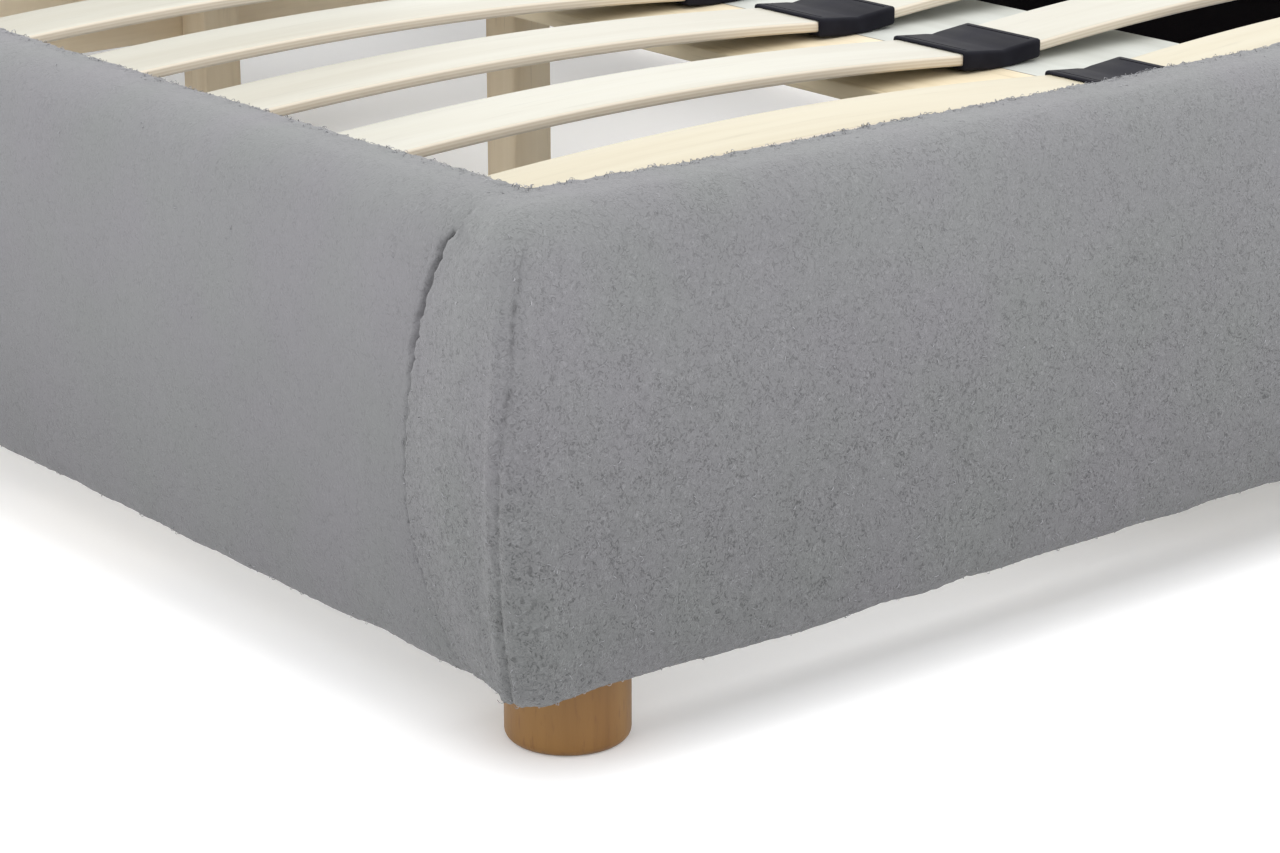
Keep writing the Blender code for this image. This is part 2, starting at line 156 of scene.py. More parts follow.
def boucle():
    """Looped mid-grey yarn. The mesh says how coarse it is, and where its seams run.

    "grain" is how open the loops are, from 0, brushed flat, to 1; "seam" is 1 along a
    stitched line.
    """
    look = Look("boucle")
    at = look.place()
    grain = look.node("Attribute", attribute_name="grain").outputs["Fac"]
    seam = look.node("Attribute", attribute_name="seam").outputs["Fac"]
    swirl = look.node("TexNoise", {"Vector": at, "Scale": 240.0, "Detail": 1.0})
    push = look.node(
        "VectorMath", {0: swirl.outputs["Color"], 1: (0.5, 0.5, 0.5)}, operation="SUBTRACT"
    ).outputs[0]
    push = look.node("VectorMath", {0: push, "Scale": 0.009}, operation="SCALE").outputs[0]
    curled = look.node("VectorMath", {0: at, 1: push}, operation="ADD").outputs[0]
    gaps = look.spread(look.noise(curled, 500.0, 1.0, 0.5), 0.34, 0.49, 1.0, 0.0)
    patches = look.spread(look.noise(at, 95.0, 2.0), 0.34, 0.60, 0.30, 1.0)
    gaps = look.math("MULTIPLY", gaps, patches)
    ridge = look.math("ABSOLUTE", look.math("SUBTRACT", look.noise(curled, 300.0, 1.0), 0.5))
    strands = look.spread(ridge, 0.0, 0.055, 1.0, 0.0)
    strands = look.math("MULTIPLY", strands, look.spread(look.noise(at, 130.0, 1.0), 0.34, 0.56))
    fibres = look.noise(curled, 1100.0, 2.0, 0.6)
    # Painted light and shade over the ground tone: the strands, which the relief raises, are
    # lighter, and the gaps between the loops, which it sinks, are darker.
    tone = look.math("MULTIPLY_ADD", strands, 0.21, 1.0)
    tone = look.math("MULTIPLY_ADD", gaps, -0.28, tone)
    tone = look.math("MULTIPLY_ADD", look.math("SUBTRACT", fibres, 0.5), 0.50, tone)
    tone = look.math("SUBTRACT", tone, 1.0)
    tone = look.math("MULTIPLY_ADD", tone, grain, 1.0)
    drift = look.spread(look.noise(at, 6.0, 2.0), 0.3, 0.7, 0.975, 1.025)
    tone = look.math("MULTIPLY", tone, drift)
    # The lower part is shaggier through its grain; its colour here is painted shade, darker towards
    # the bottom and lightest along the top edge.
    height = look.node("SeparateXYZ", {0: at}).outputs[2]
    tone = look.math("MULTIPLY", tone, look.spread(height, 0.04, 0.305, 0.715, 1.02))
    stitch = look.spread(look.noise(at, 170.0, 1.0), 0.45, 0.66, 0.0, 0.34)
    stitch = look.math("MULTIPLY", seam, stitch)
    tone = look.math("MULTIPLY", tone, look.math("SUBTRACT", 1.0, stitch))
    hue = look.ramp(
        look.noise(at, 14.0, 1.0), (0.3, (0.182, 0.187, 0.188)), (0.7, (0.186, 0.184, 0.194))
    )
    grey = look.node("CombineColor", {0: tone, 1: tone, 2: tone}).outputs[0]
    relief = look.math("MULTIPLY_ADD", strands, 0.5, look.math("MULTIPLY", fibres, 0.5))
    relief = look.math("MULTIPLY_ADD", gaps, -0.9, relief)
    relief = look.math("MULTIPLY", relief, grain)
    look.set(Base_Color=look.mix(1.0, hue, grey, "MULTIPLY"), Roughness=0.95)
    look.set(Normal=look.bump(relief, 0.5, 0.0012))
    look.set(Sheen_Weight=0.2, Sheen_Roughness=0.55, Specular_IOR_Level=0.1)
    return look.material


def loose_yarn():
    look = Look("loose_yarn")
    # Painted light: the covers' yarn in a lighter copy, so the thin loose loops stay pale where
    # their own shade would darken them.
    tone = look.noise(look.place(), 160.0, 2.0)
    colour = look.ramp(tone, (0.35, (0.22, 0.222, 0.23)), (0.65, (0.40, 0.40, 0.42)))
    look.set(Base_Color=colour, Roughness=0.95, Specular_IOR_Level=0.1)
    return look.material


def wood(name, stretch, tones, grain, roughness, pore=0.05, coat=0.0):
    """Sawn timber whose grain runs along the axis that stretch shrinks."""
    look = Look(name)
    at = look.place(stretch)
    rings = look.noise(at, 9.0, 3.0, 0.55, 0.6)
    streaks = look.noise(at, 60.0, 3.0, 0.6)
    pores = look.noise(at, 260.0, 2.0, 0.5)
    figure = look.math("MULTIPLY_ADD", streaks, 0.45, look.math("MULTIPLY", rings, 0.8))
    share = look.spread(figure, 0.62 - 0.22 / grain, 0.62 + 0.22 / grain)
    colour = look.ramp(share, (0.0, tones[0]), (0.5, tones[1]), (1.0, tones[2]))
    dark = look.spread(pores, 0.62, 0.75)
    brown = tuple(0.55 * c for c in tones[0])
    colour = look.mix(look.math("MULTIPLY", dark, pore), colour, (*brown, 1))
    relief = look.math("MULTIPLY_ADD", pores, 0.5, streaks)
    look.set(Base_Color=colour, Roughness=roughness, Normal=look.bump(relief, 0.12, 0.0006))
    look.set(Coat_Weight=coat, Coat_Roughness=0.25)
    return look


ALONG = {"X": (0.06, 1, 1), "Y": (1, 0.06, 1), "Z": (1, 1, 0.06)}


def pine(axis):
    tones = ((0.60, 0.48, 0.325), (0.76, 0.645, 0.475), (0.83, 0.725, 0.56))
    return wood(f"planed_pine_{axis}", ALONG[axis], tones, 1.2, 0.62, 0.3).material


def base_board():
    """One board in two halves: knotty brown wood on the left, and on the right the same wood in a
    pale grey that is painted light.
    """
    warm = ((0.44, 0.35, 0.21), (0.62, 0.53, 0.37), (0.72, 0.63, 0.47))
    look = wood("base_board", ALONG["Y"], warm, 1.0, 0.6, 0.3)
    brown = look.shader.inputs["Base Color"].links[0].from_socket
    streaks = look.noise(look.place(ALONG["Y"]), 45.0, 3.0, 0.6)
    # Painted light: the right half's pale grey stands for the same wood where it is brightly lit.
    pale = look.ramp(streaks, (0.3, (0.445, 0.455, 0.42)), (0.7, (0.54, 0.555, 0.52)))
    across = look.node("SeparateXYZ", {0: look.place()}).outputs[0]
    middle_line = look.spread(look.math("ABSOLUTE", across), 0.0004, 0.0009, 0.25, 1.0)
    colour = look.mix(look.math("GREATER_THAN", across, 0.0), brown, pale)
    grey = look.node("CombineColor", {0: middle_line, 1: middle_line, 2: middle_line}).outputs[0]
    look.set(Base_Color=look.mix(1.0, colour, grey, "MULTIPLY"))
    return look.material


def birch(name, tones):
    """Slat plywood: a pale face, and thin alternating plies on its edges."""
    look = wood(name, (0.05, 1, 1), tones, 1.0, 0.42, 0.16, 0.1)
    face = look.shader.inputs["Base Color"].links[0].from_socket
    layer = look.node("Attribute", attribute_name="layer").outputs["Fac"]
    stripes = look.math("SINE", look.math("MULTIPLY", layer, 11.0))
    edge = look.ramp(
        look.spread(stripes, -0.6, 0.6), (0.0, (0.57, 0.49, 0.385)), (1.0, (0.65, 0.585, 0.48))
    )
    inside = look.math("LESS_THAN", look.math("ABSOLUTE", layer), 0.9)
    look.set(Base_Color=look.mix(inside, face, edge))
    return look.material


def beech():
    look = Look("oiled_beech")
    at = look.place((1, 1, 0.07))
    rings = look.noise(at, 22.0, 3.0, 0.6, 0.8)
    fleck = look.noise(look.place((1, 1, 0.16)), 420.0, 2.0, 0.5)
    colour = look.ramp(
        look.spread(rings, 0.3, 0.7),
        (0.0, (0.185, 0.088, 0.023)),
        (0.55, (0.245, 0.127, 0.036)),
        (1.0, (0.30, 0.163, 0.050)),
    )
    dark = look.math("MULTIPLY", look.spread(fleck, 0.60, 0.72), 0.55)
    colour = look.mix(dark, colour, (0.16, 0.07, 0.025, 1))
    look.set(Base_Color=colour, Roughness=0.42, Normal=look.bump(fleck, 0.15, 0.0005))
    look.set(Coat_Weight=0.12, Coat_Roughness=0.3, Specular_IOR_Level=0.3)
    return look.material


def plastic():
    look = Look("black_plastic")
    at = look.place()
    grain = look.noise(at, 1500.0, 2.0)
    wear = look.noise(at, 40.0, 3.0)
    colour = look.ramp(
        look.spread(wear, 0.35, 0.65), (0.0, (0.008, 0.008, 0.012)), (1.0, (0.014, 0.014, 0.020))
    )
    rough = look.spread(wear, 0.3, 0.7, 0.50, 0.62)
    look.set(Base_Color=colour, Roughness=rough, Normal=look.bump(grain, 0.12, 0.0003))
    look.set(Specular_IOR_Level=0.07)
    return look.material


def lining_cloth():
    """Spun-bonded cloth: a flat felt of fibres with a fine pressed grid."""
    look = Look("black_lining")
    at = look.place()
    felt = look.noise(at, 900.0, 3.0, 0.7)
    dots = look.node("TexVoronoi", {"Vector": at, "Scale": 700.0, "Randomness": 0.25})
    press = look.math("MULTIPLY_ADD", dots.outputs["Distance"], 0.6, felt)
    colour = look.ramp(
        look.spread(press, 0.5, 1.1), (0.0, (0.0015, 0.0012, 0.0015)), (1.0, (0.005, 0.004, 0.005))
    )
    look.set(Base_Color=colour, Roughness=0.85, Normal=look.bump(press, 0.3, 0.0004))
    look.set(Specular_IOR_Level=0.05)
    return look.material


def chipboard():
    look = Look("particle_board")
    at = look.place()
    chips = look.node("TexVoronoi", {"Vector": at, "Scale": 240.0}).outputs["Color"]
    tone = look.node("SeparateColor", {0: chips}).outputs[0]
    colour = look.ramp(
        tone, (0.0, (0.40, 0.29, 0.17)), (0.5, (0.58, 0.46, 0.31)), (1.0, (0.70, 0.59, 0.43))
    )
    look.set(Base_Color=colour, Roughness=0.8, Normal=look.bump(tone, 0.2, 0.0005))
    return look.material


def steel():
    look = Look("zinc_steel")
    grain = look.noise(look.place(), 700.0, 2.0)
    rough = look.spread(grain, 0.3, 0.7, 0.25, 0.4)
    colour = look.ramp(grain, (0.3, (0.50, 0.50, 0.48)), (0.7, (0.66, 0.66, 0.63)))
    look.set(Base_Color=colour, Roughness=rough, Metallic=1.0)
    look.set(Normal=look.bump(grain, 0.05, 0.0002))
    return look.material


BOUCLE = boucle()
LOOSE_YARN = loose_yarn()
BIRCH = birch("birch_slat", ((0.475, 0.45, 0.375), (0.53, 0.515, 0.445), (0.56, 0.55, 0.49)))
YELLOW_BIRCH = birch(
    "yellow_birch_slat", ((0.46, 0.40, 0.28), (0.525, 0.475, 0.35), (0.56, 0.52, 0.40))
)
PINE = {axis: pine(axis) for axis in "XYZ"}
BASE_BOARD_LOOK = base_board()
BEECH = beech()
PLASTIC = plastic()
LINING = lining_cloth()
CHIPBOARD = chipboard()
STEEL = steel()


# Making pieces ----------------------------------------------------------------


def piece(name, mesh, material, slot, *nodes):
    """A finished piece: it rides on the frame and stands for these CAD nodes."""
    thing = bpy.data.objects.new(name, mesh)
    bpy.context.scene.collection.objects.link(thing)
    if not mesh.materials:
        mesh.materials.append(material)
    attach(thing, BODY)
    if nodes:
        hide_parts(*nodes)
    return thing


def mesh_from(name, points, faces, smooth=True):
    mesh = bpy.data.meshes.new(name)
    mesh.from_pydata([tuple(p) for p in np.asarray(points).reshape(-1, 3)], [], faces)
    mesh.update()
    if smooth:
        mesh.shade_smooth()
    return mesh


def loft(name, rings):
    """A closed skin through rings of points, with flat ends."""
    count, around, _ = rings.shape
    first = np.arange(count - 1)[:, None] * around + np.arange(around)[None, :]
    nxt = np.arange(count - 1)[:, None] * around + (np.arange(around)[None, :] + 1) % around
    quads = np.stack([first, nxt, nxt + around, first + around], axis=-1).reshape(-1, 4)
    faces = [tuple(q) for q in quads.tolist()]
    faces.append(tuple(range(around))[::-1])
    faces.append(tuple(range((count - 1) * around, count * around)))
    mesh = mesh_from(name, rings, faces)
    shape = bmesh.new()
    shape.from_mesh(mesh)
    bmesh.ops.remove_doubles(shape, verts=shape.verts, dist=0.00005)
    bmesh.ops.recalc_face_normals(shape, faces=shape.faces)
    shape.to_mesh(mesh)
    shape.free()
    mesh.shade_smooth()
    return mesh


def mesh_of(name, shape, sharp=None):
    """A bmesh as a mesh, smooth up to an angle in degrees if one is given."""
    mesh = bpy.data.meshes.new(name)
    shape.to_mesh(mesh)
    shape.free()
    if sharp:
        mesh.shade_smooth()
        mesh.set_sharp_from_angle(angle=math.radians(sharp))
    return mesh


def along(points, step):
    """The same line with points about one step apart."""
    points = np.asarray(points, float)
    run = np.concatenate([[0], np.cumsum(np.linalg.norm(np.diff(points, axis=0), axis=1))])
    places = np.linspace(0, run[-1], max(2, round(run[-1] / step) + 1))
    return np.stack([np.interp(places, run, points[:, k]) for k in range(points.shape[1])], 1)


def bend(centre, radius, start, end, steps=10):
    """Points round a centre, with angles from the -X side over the top."""
    turns = np.linspace(start, end, steps + 1)
    return [(centre[0] - radius * math.cos(a), centre[1] + radius * math.sin(a)) for a in turns]


def waves(points, size, seed, count=9):
    """A smooth, irregular swell from -1 to 1, with humps about as wide as size."""
    draw = np.random.default_rng(seed)
    total = np.zeros(points.shape[:-1])
    for _ in range(count):
        way = draw.normal(size=3)
        way *= TURN / (size * draw.uniform(1.4, 3.2)) / np.linalg.norm(way)
        total += np.sin(points @ way + draw.uniform(0, TURN))
    return total / math.sqrt(count)


def smoothstep(value, low, high):
    t = np.clip((value - low) / (high - low), 0, 1)
    return t * t * (3 - 2 * t)


def pile(thing, grain, ragged, lumps=0.0018, curls=0.0032):
    """Real relief for the boucle: soft lumps, with curls on top of them.

    "grain" also drives the material; "ragged" is how far the loops stand out.
    """
    thing.data.attributes.new("grain", "FLOAT", "POINT").data.foreach_set("value", grain)
    group = thing.vertex_groups.new(name="pile")
    levels = np.round(np.clip(ragged, 0, 1) * 16) / 16
    for level in np.unique(levels):
        if level > 0:
            group.add(np.nonzero(levels == level)[0].tolist(), float(level), "REPLACE")
    for name, kind, size, strength in (
        ("lumps", "CLOUDS", 0.009, lumps),
        ("curls", "VORONOI", 0.0042, curls),
    ):
        texture = bpy.data.textures.get(name) or bpy.data.textures.new(name, kind)
        texture.noise_scale = size
        relief = thing.modifiers.new(name, "DISPLACE")
        relief.texture = texture
        relief.texture_coords = "LOCAL"
        relief.strength = strength
        relief.mid_level = 0.5
        relief.vertex_group = "pile"


def corners(mesh):
    """A mesh's points as an array."""
    found = np.zeros(len(mesh.vertices) * 3)
    mesh.vertices.foreach_get("co", found)
    return found.reshape(-1, 3)


# The covers of the side rails and the foot panel ------------------------------

LIP_DROP = 0.056  # the cover turns over the top edge and down the board's inner face
LIP_OUT = 0.002
TOP_ROUND = 0.028
HEM_ROUND = 0.015
FACE_BULGE = 0.004  # the middle of a padded face stands this much prouder than its edges
UNDER_SET = 0.0045  # the cover's closing wall, inside the board
POINT_STEP = 0.0032  # between points round a cover's section
ROW_STEP = 0.0037  # between rows along a cover
FINE_STEP = 0.0013  # between rows round a corner
CREASE_STEP = 0.0009  # between the side cover's first rows, in the crease
CREASE_NEAR = 0.020  # how far those finer rows go
YARN = 0.00022  # half the thickness of a loose loop

RETURN_REACH = 0.043
RETURN_WIDEST = 0.155
RETURN_SWEEP = 0.052
CREASE_WIDE = 0.0105
CREASE_DEEP = 0.0060
CREASE_FAINT = 0.0010


def crease(height):
    """How far from the foot panel's inner edge its return ends, at a height."""
    limit = np.where(height > RETURN_WIDEST, TOP, BOTTOM)
    share = (height - RETURN_WIDEST) / (limit - RETURN_WIDEST)
    sway = 0.0009 * np.sin(height * 410) + 0.0006 * np.sin(height * 930 + 1)
    return RETURN_REACH - RETURN_SWEEP * share**2 + sway


def crease_depth(height):
    """A real fold near the top, which runs out into a faint line lower down."""
    fold = CREASE_FAINT + (CREASE_DEEP - CREASE_FAINT) * smoothstep(height, 0.205, 0.272)
    return fold * smoothstep(TOP - height, 0.001, 0.011)


def panel_section(depth, top_round):
    """A padded panel's section as (distance out, height), and how many points show."""
    high, low = TOP - top_round, BOTTOM + HEM_ROUND
    edge = depth - FACE_BULGE
    outer = [(-LIP_OUT, TOP - LIP_DROP), (-LIP_OUT, TOP - 0.008)]
    outer += bend((-LIP_OUT + 0.007, TOP - 0.007), 0.007, 0, RIGHT, 5)[1:]
    outer += bend((edge - top_round, high), top_round, RIGHT, 2 * RIGHT)
    for share in np.linspace(0, 1, 12)[1:-1]:
        proud = FACE_BULGE * (1 - (2 * share - 1) ** 2)
        outer.append((edge + proud, high + (low - high) * share))
    outer += bend((edge - HEM_ROUND, low), HEM_ROUND, 2 * RIGHT, 3 * RIGHT, 6)
    outer += [(UNDER_SET + 0.004, BOTTOM - 0.0005)]
    fine = along(outer, POINT_STEP)
    closing = along([(UNDER_SET, BOTTOM), (UNDER_SET, TOP - LIP_DROP - 0.001)], 0.05)
    return np.concatenate([fine, closing]), len(fine)


def grid_normals(points, towards):
    """Outward directions of a grid of points, from its own slopes."""
    normal = np.cross(np.gradient(points, axis=0), np.gradient(points, axis=1))
    normal /= np.maximum(np.linalg.norm(normal, axis=-1, keepdims=True), 1e-9)
    # The middle of the section is on the outer face, which shows which way is out.
    middle = normal[len(normal) // 2, towards[0]] @ np.array(towards[1], float)
    return normal * np.sign(middle)


def swell(points, seed):
    """Foam and cloth are never quite flat: broad waves, and a livelier hem."""
    broad = waves(points, 0.16, seed) * 0.0009 + waves(points, 0.05, seed + 1) * 0.0003
    low = 1 - smoothstep(points[..., 2], BOTTOM + 0.004, BOTTOM + 0.035)
    hem = waves(points, 0.026, seed + 2) * 0.0007 * low
    return broad + hem


def shown(points, count):
    """1 on the points that show, and 0 on the ends of the section and its closing wall."""
    mask = np.zeros(points.shape[1])
    mask[1 : count - 1] = 1
    return np.broadcast_to(mask[None, :], points.shape[:2])


def cover_pile(cover, coarseness):
    """How ragged a cover's loops stand: most along its edges, least on its faces."""
    at = corners(cover.data)
    inner = np.minimum(HALF + UNDER_SET + 0.0006 - np.abs(at[:, 0]), at[:, 1] - FOOT_Y + UNDER_SET)
    hidden = (inner > 0) & (at[:, 2] < TOP - LIP_DROP + 0.001)
    past_inner = np.maximum(np.abs(at[:, 0]) - HALF, FOOT_Y - at[:, 1])
    top_edge = smoothstep(at[:, 2], TOP - 0.012, TOP - 0.004) * (
        1 - smoothstep(past_inner, 0.006, 0.016)
    )
    hem = 1 - smoothstep(at[:, 2], BOTTOM + 0.004, BOTTOM + 0.022)
    grain = coarseness(at)
    ragged = np.maximum(0.05 + 0.20 * grain, np.maximum(0.80 * top_edge, 0.40 * hem))
    ragged = np.where(hidden, 0, ragged)
    pile(cover, np.where(hidden, 0.3, grain), ragged)
    return ragged


def loose_loops(cover, share, count, seed):
    """Short loops of yarn that have worked out of a cover, mostly where share is high."""
    draw = np.random.default_rng(seed)
    seen = cover.evaluated_get(bpy.context.evaluated_depsgraph_get()).data
    at = corners(seen)
    out = np.zeros(len(at) * 3)
    seen.vertex_normals.foreach_get("vector", out)
    seen.calc_loop_triangles()
    threes = np.zeros(len(seen.loop_triangles) * 3, dtype=int)
    seen.loop_triangles.foreach_get("vertices", threes)
    one, two, three = at[threes.reshape(-1, 3)].transpose(1, 0, 2)
    area = np.linalg.norm(np.cross(two - one, three - one), axis=1)
    share = share * np.bincount(threes, np.repeat(area, 3), len(at))
    picks = draw.choice(len(at), count, p=share / share.sum())
    out = out.reshape(-1, 3)[picks]
    across = np.cross(out, draw.normal(size=(count, 3)))
    across /= np.linalg.norm(across, axis=1, keepdims=True)
    third = np.cross(out, across)
    reach = draw.uniform(0.0006, 0.0021, (count, 1))
    rise = draw.uniform(0.0008, 0.0020, (count, 1))
    lean = draw.normal(0, 0.0008, (count, 1))
    foot = at[picks] + across * draw.normal(0, 0.0012, (count, 1)) - out * 0.0006
    rings = []
    for t in np.linspace(-1, 1, 4):
        middle = foot + across * reach * t + out * rise * (1 - t * t) + third * lean * (1 + t)
        for turn in (0, TURN / 3, 2 * TURN / 3):
            rings.append(middle + (out * math.cos(turn) + third * math.sin(turn)) * YARN)
    points = np.stack(rings, axis=1)
    faces = [(0, 1, 2), (11, 10, 9)]
    for ring in (0, 3, 6):
        for k in range(3):
            nxt = (k + 1) % 3
            faces.append((ring + nxt, ring + k, ring + k + 3, ring + nxt + 3))
    every = [tuple(12 * n + k for k in face) for n in range(count) for face in faces]
    mesh = mesh_from(cover.name.replace("cover", "loose_loops"), points, every)
    piece(mesh.name, mesh, LOOSE_YARN, "upholstery")


SIDE_GRAIN = 0.34  # the nap on the side rails is brushed nearly flat


def side_grain(at):
    from_foot = at[:, 1] - FOOT_Y
    near_crease = np.exp(-((from_foot / 0.05) ** 2))
    low = 1 - smoothstep(at[:, 2], BOTTOM, BOTTOM + 0.14)
    return SIDE_GRAIN + 0.25 * near_crease + 0.20 * low


def side_cover(side, sign):
    section, count = panel_section(SIDE_DEPTH, TOP_ROUND)
    length = HEAD_BOARD_Y - FOOT_Y
    near = np.arange(0, CREASE_NEAR, CREASE_STEP)
    far = np.linspace(CREASE_NEAR, length, round((length - CREASE_NEAR) / ROW_STEP))
    share = (np.concatenate([near, far]) / length)[:, None]
    height = section[None, :, 1] + np.zeros_like(share)
    start = np.maximum(crease(height), 0.0) - 0.0012
    out = section[None, :, 0] + np.zeros_like(share)
    run = start + (length - start) * share
    # Beside the return the cover is pulled down into a crease, deepest near the top.
    past = run - start
    ragged = 0.0011 * np.sin(height * 330) + 0.0009 * np.sin(height * 710 + 1)
    ragged += 0.0006 * np.sin(height * 1370 + 2)
    wall = CREASE_WIDE * (0.40 + 0.60 * smoothstep(height, 0.18, 0.26)) + ragged
    deep = crease_depth(height) * (crease(height) > 0)
    facing = smoothstep(out, SIDE_DEPTH * 0.30, SIDE_DEPTH * 0.65)
    pull = deep * (1 - smoothstep(past, wall * 0.62, wall)) * facing
    pull += 0.0018 * np.exp(-((past / 0.030) ** 2)) * facing
    points = np.stack([sign * (HALF + out - pull), FOOT_Y + run, height], axis=-1)
    normal = grid_normals(points, (count // 2, (sign, 0, 0)))
    points = points + normal * (swell(points, 11 + sign) * shown(points, count))[..., None]
    mesh = loft(f"side_rail_cover_{side}", points)
    cover = piece(mesh.name, mesh, BOUCLE, "upholstery", f"side_rail_padding_{side}")
    ragged = cover_pile(cover, side_grain)
    at = corners(mesh)
    beside = np.exp(-(((at[:, 1] - FOOT_Y - crease(at[:, 2])) / 0.005) ** 2)) * (ragged > 0)
    loose_loops(cover, ragged**3 + 0.15 * beside, 2200, 51 + sign)


CORNER_RADIUS = 0.017
LIP_ROUND = 0.0035  # the rounding of the return's end, in the crease
LIP_PROUD = 0.0025
RETURN_RISE = 0.055  # how far the return takes to rise to its full depth
SEAM_TOP_SHIFT = 0.012  # the corner seam starts on the foot's side of the corner
SEAM_LOW_SHIFT = -0.014  # and ends on the return's side of it
SEAM_LOW_HEIGHT = 0.15


def foot_depth(height):
    share = np.clip((TOP - height) / (TOP - BOTTOM), 0, 1)
    return FOOT_TOP_DEPTH + (FOOT_BOTTOM_DEPTH - FOOT_TOP_DEPTH) * share


def contour(run, height):
    """The foot panel's outer face in plan, at a distance along it from the return.

    The run is positive on the return, and negative round the corner and along the
    foot. It gives the anchor on the inner edge and the outer point, both as (distance
    out from the side rail's inner edge, distance along the bed).
    """
    past = crease(height) - run
    lip = np.sqrt(1 - (1 - np.clip(past / LIP_ROUND, 0, 1)) ** 2)
    proud = LIP_PROUD * crease_depth(height) / CREASE_DEEP
    wide = SIDE_DEPTH + proud * lip - crease_depth(height) * (1 - lip)
    wide = wide + (RETURN_DEPTH - SIDE_DEPTH - proud) * smoothstep(past, 0, RETURN_RISE)
    turn_start = CORNER_RADIUS - foot_depth(height)
    arc = CORNER_RADIUS * RIGHT
    turned = np.clip((turn_start - run) / arc, 0, 1) * RIGHT
    straight = np.maximum(turn_start - arc - run, 0)
    out = wide - CORNER_RADIUS * (1 - np.cos(turned)) - straight
    back = np.where(run > turn_start, run, turn_start - CORNER_RADIUS * np.sin(turned))
    return np.minimum(out, 0), np.maximum(back, 0), out, back


def seam_run(height):
    """Where the corner seam lies along the contour."""
    middle = -(foot_depth(height) - CORNER_RADIUS) - CORNER_RADIUS * math.pi / 4
    share = np.clip((height - SEAM_LOW_HEIGHT) / (TOP - SEAM_LOW_HEIGHT), 0, 1)
    sway = 0.0010 * np.sin(height * 75)
    return middle - (SEAM_LOW_SHIFT + (SEAM_TOP_SHIFT - SEAM_LOW_SHIFT) * share) + sway


def foot_grain(at):
    """Coarse on the foot, smoother on the returns and along the top edge."""
    past_corner = smoothstep(FOOT_Y - at[:, 1], 0.026, 0.050)
    beside_seam = smoothstep(-HALF - at[:, 0], 0.035, 0.060)
    coarse = 0.62 + 0.38 * np.maximum(past_corner, 0.8 * beside_seam)
    top = smoothstep(at[:, 2], 0.12, TOP - 0.01)
    far = smoothstep(at[:, 0], -HALF + 0.25, HALF) * past_corner
    return coarse * (1.55 - 0.75 * top) * (1 - 0.15 * far)


def foot_cover():
    mean = 0.066
    section, count = panel_section(mean, TOP_ROUND)
    share_out = section[None, :, 0] / mean
    height = section[:, 1]
    start = np.maximum(crease(height), 0.0)
    bend_end = CORNER_RADIUS - foot_depth(height) - CORNER_RADIUS * RIGHT
    middle = bend_end - (RETURN_DEPTH - CORNER_RADIUS) - HALF
    corner_rows = round((RETURN_REACH + 0.095) / FINE_STEP)
    straight_rows = round((HALF + RETURN_DEPTH) / ROW_STEP)
    first = np.linspace(0, 1, corner_rows, endpoint=False)[:, None] ** 1.12
    second = np.linspace(0, 1, straight_rows + 1)[:, None]
    runs = np.concatenate(
        [start + (bend_end - start) * first, bend_end + (middle - bend_end) * second]
    )
    tall = np.broadcast_to(height[None, :], runs.shape)
    anchor_out, anchor_back, out, back = contour(runs, tall)
    x = anchor_out + (out - anchor_out) * share_out
    y = anchor_back + (back - anchor_back) * share_out
    left = np.stack([-(HALF + x), FOOT_Y + y, tall], axis=-1)

    facing = smoothstep(share_out, 0.55, 0.9)
    # The seam: a stitched valley between two soft ridges.
    off = runs - seam_run(tall)
    seam_fade = smoothstep(TOP + 0.002 - tall, 0, 0.03) * facing
    line = np.exp(-((off / 0.0014) ** 2)) * seam_fade
    seam = -0.0011 * line + seam_fade * (
        0.0022 * np.exp(-(((off - 0.0065) / 0.0050) ** 2))
        + 0.0012 * np.exp(-(((off + 0.0060) / 0.0045) ** 2))
    )
    # A short tuck runs from the top of the crease towards the corner.
    tuck_way = (crease(tall) - runs - 0.002) / 0.026
    tuck_line = TOP - 0.012 - 0.008 * np.clip(tuck_way, 0, 1)
    tuck = -0.0022 * np.exp(-(((tall - tuck_line) / 0.0030) ** 2)) * facing
    tuck = tuck * smoothstep(tuck_way, 0.0, 0.15) * (1 - smoothstep(tuck_way, 0.5, 1.0))
    normal = grid_normals(left, (count // 2, (0, -1, 0)))
    shape = (seam + tuck + swell(left, 31)) * shown(left, count)
    left = left + normal * shape[..., None]

    right = left[-2::-1] * np.array([-1, 1, 1])
    mesh = loft("footboard_cover", np.concatenate([left, right]))
    stitched = np.concatenate([line, line[-2::-1]]).ravel()
    seam_layer(mesh, np.concatenate([left, right]).reshape(-1, 3), stitched)
    cover = piece("footboard_cover", mesh, BOUCLE, "upholstery", "footboard_padding")
    ragged = cover_pile(cover, foot_grain)
    sewn = np.zeros(len(mesh.vertices))
    mesh.attributes["seam"].data.foreach_get("value", sewn)
    loose_loops(cover, ragged**3 + 0.05 * sewn, 4200, 57)


def seam_layer(mesh, points, values):
    """The "seam" attribute, matched by place because the loft may merge points."""
    tree = KDTree(len(points))
    for index, point in enumerate(points):
        tree.insert(point, index)
    tree.balance()
    found = [values[tree.find(v.co)[1]] for v in mesh.vertices]
    mesh.attributes.new("seam", "FLOAT", "POINT").data.foreach_set("value", found)


# The headboard ------------------------------------------------------------------

HEAD_STEP = 0.0060
HEAD_EDGE_ROUND = 0.012
HEAD_THICKNESS = 0.065
LEAN_RADIUS = 1.0
LEAN_ANGLE = math.radians(25)
ROLL_RADIUS = 0.075
PIPING_RADIUS = 0.0042
GUSSET_ROUND = 0.006
HEAD_GRAIN = 0.6
# The height where the headboard's front starts to lean back.
LEAN_START = pad_head[1].z - ROLL_RADIUS - (LEAN_RADIUS - ROLL_RADIUS) * math.sin(LEAN_ANGLE)


